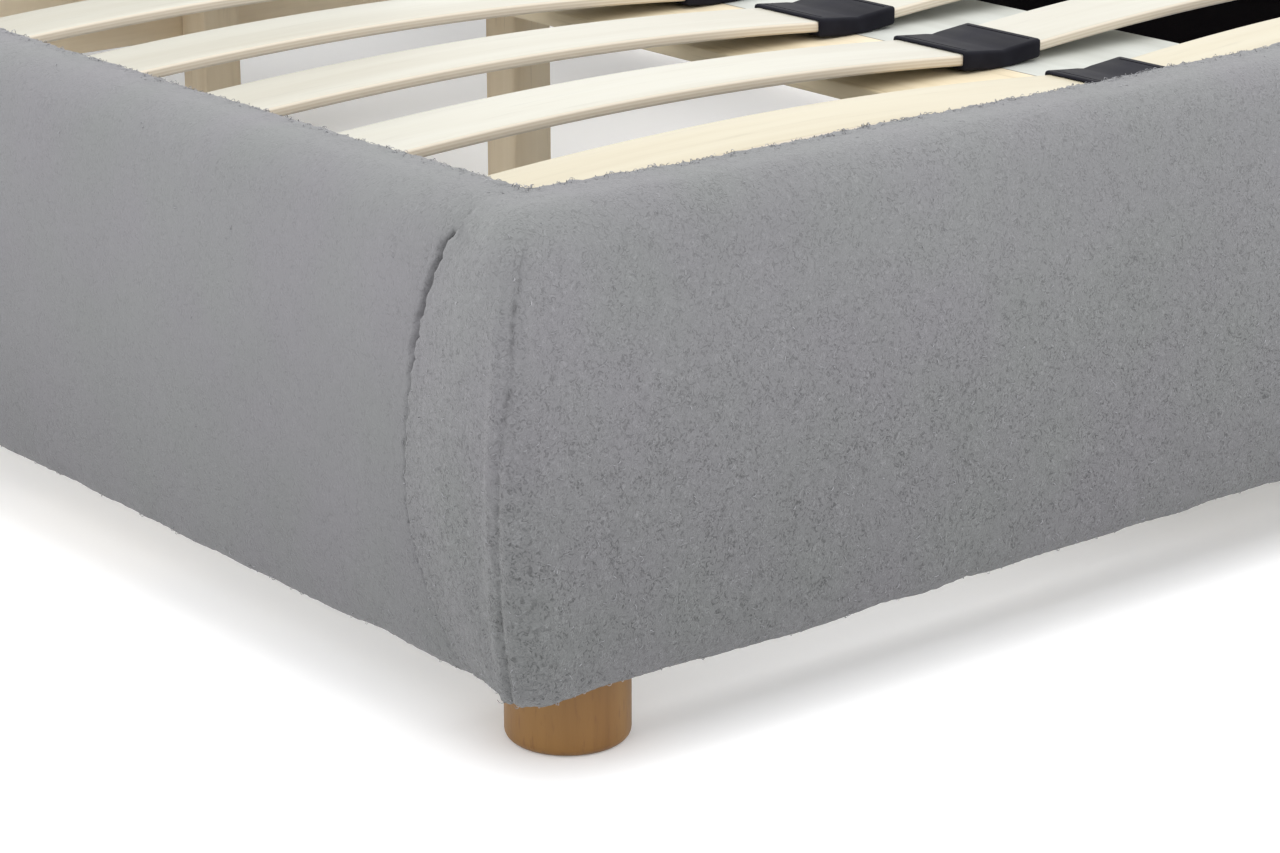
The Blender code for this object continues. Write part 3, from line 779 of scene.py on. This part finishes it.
def headboard_outline():
    """The headboard's side view: up the front, over the roll and down the back."""
    to_roll = LEAN_RADIUS - ROLL_RADIUS
    lean = (LEAN_RADIUS, LEAN_START)
    back_radius = LEAN_RADIUS - HEAD_THICKNESS
    share = (to_roll**2 + back_radius**2 - ROLL_RADIUS**2) / (2 * to_roll * back_radius)
    back_angle = LEAN_ANGLE - math.acos(share)
    roll = bend(lean, to_roll, LEAN_ANGLE, LEAN_ANGLE, 1)[0]
    meeting = bend(lean, back_radius, back_angle, back_angle, 1)[0]
    roll_end = math.atan2(meeting[1] - roll[1], roll[0] - meeting[0]) % TURN
    front_low = TOP + 0.003
    outline = bend((0.009, front_low + 0.009), 0.009, -RIGHT, 0, 5)
    outline += bend(lean, LEAN_RADIUS, 0, LEAN_ANGLE, 30)
    outline += bend(roll, ROLL_RADIUS, LEAN_ANGLE, roll_end - 0.10, 46)[1:]
    outline += bend(lean, back_radius, back_angle - 0.012, 0, 26)
    hem = (HEAD_THICKNESS - HEM_ROUND, BOTTOM + HEM_ROUND)
    outline += bend(hem, HEM_ROUND, 2 * RIGHT, 3 * RIGHT, 5)
    front = HEAD_BOARD_Y - HEAD_Y + 0.001
    outline += [(front, BOTTOM), (front, front_low)]
    return along(outline, HEAD_STEP)[:-1]


def inset(outline, distance):
    """The outline drawn in towards its inside by a distance."""
    step = np.roll(outline, -1, 0) - np.roll(outline, 1, 0)
    step /= np.maximum(np.linalg.norm(step, axis=1, keepdims=True), 1e-9)
    inwards = np.stack([step[:, 1], -step[:, 0]], 1)
    return outline + inwards * distance


def headboard():
    outline = headboard_outline()
    end = pad_head[1].x
    rows = round(2 * end / HEAD_STEP)
    flat = np.linspace(-(end - HEAD_EDGE_ROUND), end - HEAD_EDGE_ROUND, rows)
    turns = np.linspace(0, RIGHT, 6)[1:]
    places = [(x, 0.0) for x in flat]
    rounded = [
        (end - HEAD_EDGE_ROUND * (1 - math.sin(a)), HEAD_EDGE_ROUND * (1 - math.cos(a)))
        for a in turns
    ]
    places = [(-x, d) for x, d in reversed(rounded)] + places + rounded
    # The wall against the board and the side rails stays where it is.
    flush = (outline[:, 1] < TOP + 0.004) & (outline[:, 0] < HEAD_BOARD_Y - HEAD_Y + 0.002)
    rings = []
    for x, pulled in places:
        ring = inset(outline, pulled)
        ring[flush] = np.maximum(outline[flush], (0, BOTTOM + pulled))
        rings.append(np.stack([np.full(len(ring), x), HEAD_Y + ring[:, 0], ring[:, 1]], 1))
    points = np.array(rings)
    front = np.argmin(np.abs(outline[:, 1] - 0.5) + outline[:, 0])
    normal = grid_normals(points, (front, (0, -1, 0)))
    soft = waves(points, 0.30, 51) * 0.0016 + waves(points, 0.09, 52) * 0.0005
    edge = 1 - smoothstep(np.abs(points[..., 0]), end - 0.05, end - 0.015)
    seam = head_seam(outline)[None, :] * smoothstep(end - np.abs(points[..., 0]), 0.0, 0.01)
    hidden = (points[..., 1] < HEAD_BOARD_Y + 0.003) & (points[..., 2] < TOP)
    shape = np.where(hidden, 0, soft * edge + seam)
    points = points + normal * shape[..., None]
    mesh = loft("headboard_cover", points)
    cover = piece("headboard_cover", mesh, BOUCLE, "upholstery", "headboard_padding")
    at = corners(mesh)
    hidden = (at[:, 1] < HEAD_BOARD_Y + 0.003) & (at[:, 2] < TOP + 0.001)
    pile(cover, np.full(len(at), HEAD_GRAIN), np.where(hidden, 0, 0.2))
    for name, sign in SIDES:
        piping(f"headboard_piping_{name}", outline, sign * (end - 0.006))
        gusset(f"headboard_gusset_{name}", sign)


def gusset(name, sign):
    """The cover's filling between a side rail's rounded end and the headboard."""
    section, count = panel_section(SIDE_DEPTH, TOP_ROUND)
    slope = np.gradient(section[:count], axis=0)
    slope /= np.linalg.norm(slope, axis=1, keepdims=True)
    beside = section[:count] + 0.0022 * np.stack([-slope[:, 1], slope[:, 0]], 1)
    beside = beside[(section[:count, 0] > 0.014) & (beside[:, 1] < TOP)]
    beside = beside[beside[:, 1] > BOTTOM + 0.004]
    edge = RETURN_DEPTH - 0.003
    corner = [
        (edge - GUSSET_ROUND * (1 - math.cos(a)), TOP - GUSSET_ROUND * (1 - math.sin(a)))
        for a in np.linspace(0, RIGHT, 5)
    ]
    outline = np.concatenate([beside, [(edge, BOTTOM + 0.004)], corner])
    rings = [
        np.stack([sign * (HALF + outline[:, 0]), np.full(len(outline), y), outline[:, 1]], 1)
        for y in (HEAD_Y + 0.004, HEAD_BOARD_Y - 0.0005)
    ]
    mesh = loft(name, np.array(rings))
    mesh.set_sharp_from_angle(angle=math.radians(50))
    piece(name, mesh, BOUCLE, "upholstery")


def head_seam(outline):
    """A sewn valley along the underside of the roll's front and one behind it."""
    seam_height = LEAN_START + LEAN_RADIUS * math.sin(LEAN_ANGLE) - 0.012
    on_front = outline[:, 0] < 0.12
    off = np.where(on_front, outline[:, 1] - seam_height, 1.0)
    valley = -0.0040 * np.exp(-((off / 0.0055) ** 2))
    return valley + 0.0012 * np.exp(-(((np.abs(off) - 0.016) / 0.008) ** 2))


def tube(name, points, radius, around=10):
    """A round cord through points, as a closed mesh with flat ends."""
    points = np.asarray(points, float)
    ahead = np.gradient(points, axis=0)
    ahead /= np.linalg.norm(ahead, axis=1, keepdims=True)
    sideways = np.tile([1.0, 0, 0], (len(points), 1))
    up = np.cross(ahead, sideways)
    turns = np.linspace(0, TURN, around, endpoint=False)
    across = sideways[:, None] * np.cos(turns)[None, :, None]
    rings = points[:, None] + radius * (across + up[:, None] * np.sin(turns)[None, :, None])
    return loft(name, rings)


def piping(name, outline, x):
    """A covered cord sewn into the seam round the headboard's side panel."""
    pulled = inset(outline, HEAD_EDGE_ROUND * 0.30 - PIPING_RADIUS * 0.5)
    start = np.argmax(pulled[:, 1] > TOP + 0.012)
    stop = len(pulled) - 1 - np.argmax((pulled[::-1, 0] > HEAD_THICKNESS * 0.8))
    line = along(pulled[start:stop], 0.004)
    points = np.stack([np.full(len(line), x), HEAD_Y + line[:, 0], line[:, 1]], 1)
    mesh = tube(name, points, PIPING_RADIUS)
    cord = piece(name, mesh, BOUCLE, "upholstery")
    count = len(mesh.vertices)
    pile(cord, np.full(count, HEAD_GRAIN), np.full(count, 0.2))


# The slatted base ---------------------------------------------------------------

SLAT_ROWS = 12
SLAT_THICK = 0.008
SLAT_EDGE = 0.0026
SLAT_END_EASE = 0.0012


def slat(name, node, material):
    """A bowed plywood slat with eased edges; "layer" runs through its plies."""
    low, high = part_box(node)
    half_wide = (high.y - low.y) / 2
    middle_y = (high.y + low.y) / 2
    middle_x, half_long = (high.x + low.x) / 2, (high.x - low.x) / 2
    half_thick = SLAT_THICK / 2

    def centre(x):
        rise = (high.z - low.z - SLAT_THICK) * (1 - ((x - middle_x) / half_long) ** 2)
        return low.z + half_thick + rise

    # The two ends are eased as well, over the last millimetres.
    first, last = low.x + SLAT_END_EASE, high.x - SLAT_END_EASE
    xs = np.linspace(low.x, high.x, 45)
    xs = np.concatenate([[low.x, first], xs[1:-1], [last, high.x]])
    ease = np.zeros(len(xs))
    ease[[0, -1]] = SLAT_END_EASE
    section = eased_section(half_wide, half_thick, SLAT_EDGE)
    rings = []
    for x, pulled in zip(xs, ease):
        wide, tall = 1 - pulled / half_wide, 1 - pulled / half_thick
        rings.append([(x, middle_y + y * wide, centre(x) + z * tall) for y, z in section])
    mesh = loft(name, np.array(rings))
    at = corners(mesh)
    layer = (at[:, 2] - centre(at[:, 0])) / half_thick
    mesh.attributes.new("layer", "FLOAT", "POINT").data.foreach_set("value", layer)
    mesh.set_sharp_from_angle(angle=math.radians(50))
    return piece(name, mesh, material, "slat_birch", node)


def eased_section(half_wide, half_thick, edge, steps=4):
    """A flat bar's section with rounded corners, from its lower right one."""
    points = []
    for sign_y, sign_z, begin in ((1, -1, 3), (1, 1, 0), (-1, 1, 1), (-1, -1, 2)):
        for i in range(steps + 1):
            turn = begin * RIGHT + RIGHT * i / steps
            y = sign_y * (half_wide - edge) + edge * math.cos(turn)
            points.append((y, sign_z * (half_thick - edge) + edge * math.sin(turn)))
        if sign_z * sign_y > 0:
            # Extra points across the flat faces keep the long quads even.
            for share in (0.25, 0.5, 0.75):
                points.append((sign_y * (half_wide - edge) * (1 - 2 * share), sign_z * half_thick))
    return points


CAP_EDGE = 0.0026
CAP_FLAT = 0.010  # half the length of the cap's level middle
CAP_NECK = 0.007  # where its arms start to rise
SLAT_PLAY = 0.0004  # room round a slat in its pocket
POCKET_TALL = 0.0088
HOLLOW_TALL = 0.0084  # the same in a slat-end holder
HOLDER_REACH = 0.034
HOLDER_WALL = 0.0026
RIB_SHARE = 0.82  # how far out on a cap's arm its rib line is


def prism(name, outline, half_long, edge, segments=3):
    """An (x, z) outline drawn out along Y, with rounded edges."""
    shape = bmesh.new()
    ends = [[shape.verts.new((x, y, z)) for x, z in outline] for y in (-half_long, half_long)]
    shape.faces.new(ends[0])
    shape.faces.new(ends[1][::-1])
    for i in range(len(outline)):
        j = (i + 1) % len(outline)
        shape.faces.new((ends[0][i], ends[0][j], ends[1][j], ends[1][i]))
    bmesh.ops.recalc_face_normals(shape, faces=shape.faces)
    sharp = [e for e in shape.edges if e.calc_face_angle(0) > math.radians(25)]
    bmesh.ops.bevel(
        shape, geom=sharp, offset=edge, segments=segments, profile=0.5, affect="EDGES"
    )
    return mesh_of(name, shape)


def scratch_object(name, mesh):
    thing = bpy.data.objects.new(name, mesh)
    bpy.context.scene.collection.objects.link(thing)
    return thing


def carved(body, cutters):
    """The body's mesh with the cutters taken out; the cutters are then removed."""
    for cutter in cutters:
        knife = body.modifiers.new("carve", "BOOLEAN")
        knife.operation = "DIFFERENCE"
        knife.solver = "EXACT"
        knife.object = cutter
    bpy.context.view_layer.update()
    seen = body.evaluated_get(bpy.context.evaluated_depsgraph_get())
    mesh = bpy.data.meshes.new_from_object(seen)
    for used in (body, *cutters):
        bpy.data.objects.remove(used)
    mesh.shade_smooth()
    mesh.set_sharp_from_angle(angle=math.radians(32))
    return mesh


def cap_mesh():
    """A double cap about X = 0, Y = 0: two raised arms with a pocket in each."""
    low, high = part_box("slat_cap_01")
    slat_low, slat_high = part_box("slat_01_right")
    half, wide = high.x, (high.y - low.y) / 2
    bow = slat_high.z - slat_low.z - SLAT_THICK
    slope = 4 * bow / (slat_high.x - slat_low.x)
    thick = high.z - low.z - slope * half
    top = low.z + thick
    arm = [
        (CAP_FLAT, low.z),
        (half, low.z + slope * (half - CAP_FLAT)),
        (half, high.z),
        (half * 0.5, top + slope * half * 0.52),
        (CAP_NECK, top + slope * 0.009),
    ]
    outline = [(-CAP_FLAT, low.z), *arm, (0.0, top - 0.0002)]
    outline += [(-x, z) for x, z in arm[:0:-1]]
    body = scratch_object("cap_body", prism("cap_body", outline, wide, CAP_EDGE))
    cutters = []
    slat_wide = (slat_high.y - slat_low.y) / 2 + SLAT_PLAY
    for sign in (-1, 1):
        reach = [0.002, half * 0.5, half + 0.006]
        floor = slat_low.z - SLAT_PLAY
        pocket = [(sign * x, floor + slope * x) for x in reach]
        pocket += [(sign * x, floor + POCKET_TALL + slope * x) for x in reversed(reach)]
        cutters.append(scratch_object("pocket", prism("pocket", pocket, slat_wide, 0.0015, 2)))
    # A shallow rib line runs across the top, on both arms.
    for sign in (-1, 1):
        x = sign * half * RIB_SHARE
        low_z = top + slope * half * RIB_SHARE - 0.0005
        left, right, high_z = x - 0.0008, x + 0.0008, low_z + 0.0045
        line = [(left, low_z), (right, low_z), (right, high_z), (left, high_z)]
        cutters.append(scratch_object("rib", prism("rib", line, wide - 0.006, 0.0003, 1)))
    return carved(body, cutters)


def holder_mesh(sign):
    """A clip over a slat's outer end, with a flange that is screwed to the ledge."""
    side = "left" if sign < 0 else "right"
    low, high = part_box(f"slat_01_{side}")
    outer = max(abs(low.x), abs(high.x))
    inner = outer - HOLDER_REACH
    wide = (high.y - low.y) / 2
    bottom = LEDGE_TOP
    slope = 4 * (high.z - low.z - SLAT_THICK) / (high.x - low.x)
    roof = low.z + SLAT_THICK + 0.0022
    outline = [
        (sign * (outer + HOLDER_WALL), bottom),
        (sign * (outer + HOLDER_WALL), roof + 0.0006),
        (sign * (inner + HOLDER_REACH / 2), roof + slope * HOLDER_REACH / 2),
        (sign * inner, roof + slope * HOLDER_REACH),
        (sign * inner, bottom),
    ]
    body = scratch_object("holder_body", prism("holder_body", outline, wide + 0.0045, 0.0018, 3))
    reach = [inner - 0.004, inner + HOLDER_REACH / 2, outer + 0.0006]
    hollow = [(sign * x, bottom - 0.002) for x in (reach[0], reach[-1])]
    hollow += [(sign * x, low.z + HOLLOW_TALL + slope * (outer - x)) for x in reversed(reach)]
    cutter = scratch_object("hollow", prism("hollow", hollow, wide + SLAT_PLAY, 0.0006, 1))
    return carved(body, [cutter])


def slatted_base():
    cap = cap_mesh()
    holders = {"left": holder_mesh(-1), "right": holder_mesh(1)}
    for row in range(1, SLAT_ROWS + 1):
        low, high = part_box(f"slat_cap_{row:02d}")
        middle = (low.y + high.y) / 2
        made = placed(f"slat_double_cap_{row:02d}", cap, (0, middle, 0), PLASTIC)
        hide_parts(f"slat_cap_{row:02d}")
        for side, mesh in holders.items():
            veneer = YELLOW_BIRCH if row == 1 else BIRCH
            slat(f"birch_slat_{row:02d}_{side}", f"slat_{row:02d}_{side}", veneer)
            placed(f"slat_holder_{row:02d}_{side}", mesh, (0, middle, 0), PLASTIC)


def placed(name, mesh, location, material, rotation=(0, 0, 0)):
    """One of several pieces that share a mesh."""
    made = bpy.data.objects.new(name, mesh)
    if not mesh.materials:
        mesh.materials.append(material)
    bpy.context.scene.collection.objects.link(made)
    made.location = location
    made.rotation_euler = rotation
    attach(made, BODY)
    return made


def screw_mesh(name, radius, height):
    """A domed screw head on its back at Z = 0, with a round socket."""
    shape = bmesh.new()
    profile = [(radius, 0.0), (radius, height * 0.35)]
    profile += [
        (radius * math.cos(a) * 0.98, height * (0.35 + 0.65 * math.sin(a)))
        for a in np.linspace(0.15, RIGHT * 0.72, 5)
    ]
    rim = radius * 0.46
    profile += [(rim, profile[-1][1]), (rim * 0.92, profile[-1][1] - height * 0.55)]
    around = 24
    rings = []
    turns = np.linspace(0, TURN, around, endpoint=False)
    for r, z in profile:
        rings.append([shape.verts.new((r * math.cos(t), r * math.sin(t), z)) for t in turns])
    for one, other in zip(rings, rings[1:]):
        for i in range(around):
            j = (i + 1) % around
            shape.faces.new((one[i], one[j], other[j], other[i]))
    shape.faces.new(rings[-1])
    shape.faces.new(rings[0][::-1])
    bmesh.ops.recalc_face_normals(shape, faces=shape.faces)
    return mesh_of(name, shape, 40)


# Timber and board ---------------------------------------------------------------


def planed(name, node, material, slot, edge=0.0015):
    """A box-shaped node as planed timber with eased edges."""
    low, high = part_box(node)
    shape = bmesh.new()
    bmesh.ops.create_cube(shape, size=1)
    bmesh.ops.scale(shape, vec=high - low, verts=shape.verts)
    bmesh.ops.translate(shape, vec=(low + high) / 2, verts=shape.verts)
    bmesh.ops.bevel(
        shape, geom=shape.edges[:], offset=edge, segments=3, profile=0.5, affect="EDGES"
    )
    return piece(name, mesh_of(name, shape, 35), material, slot, node)


PANEL_BOARDS = (
    "side_rail_board_left",
    "side_rail_board_right",
    "footboard_board",
    "headboard_board",
)


def timber():
    planed("centre_board_planed", "centre_board", BASE_BOARD_LOOK, "frame_timber")
    planed("cross_rail_planed", "cross_rail", PINE["X"], "frame_timber")
    for end, _ in ENDS:
        planed(f"centre_cleat_planed_{end}", f"centre_cleat_{end}", PINE["X"], "frame_timber")
    for number in (1, 2):
        planed(f"centre_post_{number}", f"centre_leg_{number}", PINE["Z"], "frame_timber", 0.002)
    for side, _ in SIDES:
        planed(f"slat_ledge_planed_{side}", f"slat_ledge_{side}", PINE["Y"], "frame_timber", 0.002)
        for end, _ in ENDS:
            name = f"corner_block_{end}_{side}"
            planed(f"{name}_planed", name, PINE["Z"], "frame_timber", 0.002)
    # The four panel boards are shown as the frame has them.
    for board in PANEL_BOARDS:
        shown_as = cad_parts[board].data.materials
        shown_as.clear()
        shown_as.append(CHIPBOARD)


def turned_foot(name, node):
    """A round beech foot with a soft lower edge and a small upper one."""
    low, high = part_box(node)
    radius = (high.x - low.x) / 2
    centre = (low + high) / 2
    profile = [(0.0, low.z)]
    profile += [
        (radius - 0.006 + 0.006 * math.sin(a), low.z + 0.006 - 0.006 * math.cos(a))
        for a in np.linspace(0, RIGHT, 7)
    ]
    profile += [(radius, z) for z in np.linspace(low.z + 0.012, high.z - 0.004, 6)]
    profile += [(radius - 0.001, high.z - 0.001), (radius - 0.002, high.z), (0.0, high.z)]
    turns = np.linspace(0, TURN, 72, endpoint=False)
    east, north = np.cos(turns), np.sin(turns)
    rings = [
        np.stack([centre.x + r * east, centre.y + r * north, np.full(len(turns), z)], 1)
        for r, z in profile
    ]
    mesh = loft(name, np.array(rings))
    mesh.set_sharp_from_angle(angle=math.radians(40))
    return piece(name, mesh, BEECH, "leg_timber", node)


def feet():
    for end, _ in ENDS:
        for side, _ in SIDES:
            turned_foot(f"beech_foot_{end}_{side}", f"leg_{end}_{side}")


def fixing(name, mesh, at, rotation):
    placed(name, mesh, at, STEEL, rotation)


def fixings():
    """Bolts through the corner blocks, and screws in the cleats and the board."""
    bolt = screw_mesh("bolt_head", 0.0085, 0.0055)
    small = screw_mesh("screw_head", 0.0045, 0.0022)
    for end, inwards in ENDS:
        for side, sign in SIDES:
            low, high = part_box(f"corner_block_{end}_{side}")
            face_x = high.x if sign < 0 else low.x
            face_y = high.y if inwards > 0 else low.y
            middle = (low + high) / 2
            for number, share in enumerate((0.25, 0.75)):
                z = low.z + (high.z - low.z) * share
                where = f"{end}_{side}_{number}"
                along_x, along_y = (face_x, middle.y, z), (middle.x, face_y, z + 0.02)
                fixing(f"corner_bolt_{where}", bolt, along_x, (0, -sign * RIGHT, 0))
                fixing(f"corner_screw_{where}", small, along_y, (-inwards * RIGHT, 0, 0))
    for end, inwards in ENDS:
        low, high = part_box(f"centre_cleat_{end}")
        face_y = high.y if inwards > 0 else low.y
        for number, share in enumerate((0.12, 0.5, 0.88)):
            x = low.x + (high.x - low.x) * share
            at = (x, face_y, (low.z + high.z) / 2)
            fixing(f"cleat_screw_{end}_{number}", small, at, (-inwards * RIGHT, 0, 0))


# The lining -----------------------------------------------------------------------


def lining(name, corner, way, length, low_z, high_z, off):
    """Black cloth stapled over a board's inner face, with slight puckers."""
    cols = round(length / 0.012)
    rows = round((high_z - low_z) / 0.012)
    u, v = np.meshgrid(np.linspace(0, 1, cols + 1), np.linspace(0, 1, rows + 1), indexing="ij")
    corner, way, off = (np.array(t, float) for t in (corner, way, off))
    points = corner + way * (u * length)[..., None]
    points[..., 2] = low_z + v * (high_z - low_z)
    slack = 0.0009 + 0.0008 * waves(points, 0.07, 71) * np.sin(v * math.pi)
    points = points + off * np.maximum(slack, 0.0002)[..., None]
    index = np.arange((cols + 1) * (rows + 1)).reshape(cols + 1, rows + 1)
    quads = np.stack([index[:-1, :-1], index[1:, :-1], index[1:, 1:], index[:-1, 1:]], -1)
    mesh = mesh_from(name, points, [tuple(q) for q in quads.reshape(-1, 4).tolist()])
    cloth = piece(name, mesh, LINING, "lining")
    skin = cloth.modifiers.new("cloth", "SOLIDIFY")
    skin.thickness = 0.0004
    skin.offset = 0
    return cloth


def linings():
    top = LEDGE_BOTTOM - 0.002
    low = BOTTOM + 0.003
    block_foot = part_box("corner_block_foot_left")
    block_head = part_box("corner_block_head_left")
    start, stop = block_foot[1].y + 0.001, block_head[0].y - 0.001
    for side, sign in SIDES:
        lining(f"side_lining_{side}", (sign * (HALF + INSET), start, 0), (0, 1, 0),
               stop - start, low, top, (-sign, 0, 0))
    wide = -block_foot[1].x - 0.001
    for end, face, off in (
        ("foot", board_foot[1].y, (0, 1, 0)),
        ("head", HEAD_BOARD_Y + 0.0003, (0, -1, 0)),
    ):
        high = TOP - LIP_DROP - 0.002 if end == "foot" else TOP - 0.004
        lining(f"{end}_lining", (-wide, face, 0), (1, 0, 0), 2 * wide, low, high, off)


# The floor, the light and the camera -------------------------------------------


def stage():
    bpy.ops.mesh.primitive_plane_add(size=30, location=(0, 0, 0))
    floor = bpy.context.object
    floor.name = "floor"
    look = Look("white_floor")
    look.set(Base_Color=(0.93, 0.93, 0.935, 1), Roughness=0.75, Specular_IOR_Level=0.1)
    # A light table: it lifts its own shadows without lighting the bed from below.
    seen = look.node("LightPath").outputs["Is Camera Ray"]
    look.set(Emission_Color=(1, 1, 1, 1), Emission_Strength=look.math("MULTIPLY", seen, 0.13))
    floor.data.materials.append(look.material)

    world = bpy.data.worlds.new("studio")
    world.use_nodes = True
    world.node_tree.nodes["Background"].inputs[0].default_value = (1, 1, 1, 1)
    world.node_tree.nodes["Background"].inputs[1].default_value = 1.28
    bpy.context.scene.world = world

    # One broad light overhead, and a weaker one from the left.
    for name, way, spread, power in (
        ("overhead", (-0.10, -0.15, 1.0), 100, 1.3),
        ("left", (-1.0, -0.35, 0.6), 60, 0.07),
    ):
        lamp = bpy.data.lights.new(name, "SUN")
        lamp.angle = math.radians(spread)
        lamp.energy = power
        holder = bpy.data.objects.new(name, lamp)
        holder.location = (0, 0, 4)
        holder.rotation_euler = Vector(way).to_track_quat("Z", "Y").to_euler()
        bpy.context.scene.collection.objects.link(holder)
    bpy.context.scene.view_settings.view_transform = "Standard"


CAMERA_FROM_CORNER = (-1.139, -1.479)  # from the inner corner at the foot's left
CAMERA_HEIGHT = 0.788
CAMERA_TURN = math.atan2(0.6347, 0.7727)  # to the right of the bed's length
CAMERA_PITCH = math.radians(17.9)
CAMERA_LENS = 101.1


def camera():
    lens = bpy.data.cameras.new("camera")
    lens.lens = CAMERA_LENS
    lens.sensor_width = 36
    lens.clip_start = 0.05
    lens.clip_end = 60
    holder = bpy.data.objects.new("camera", lens)
    holder.location = (-HALF + CAMERA_FROM_CORNER[0], FOOT_Y + CAMERA_FROM_CORNER[1], CAMERA_HEIGHT)
    holder.rotation_euler = (RIGHT - CAMERA_PITCH, 0, -CAMERA_TURN)
    bpy.context.scene.collection.objects.link(holder)
    bpy.context.scene.camera = holder


camera()
stage()
foot_cover()
for side_name, side_sign in SIDES:
    side_cover(side_name, side_sign)
headboard()
slatted_base()
timber()
feet()
fixings()
linings()
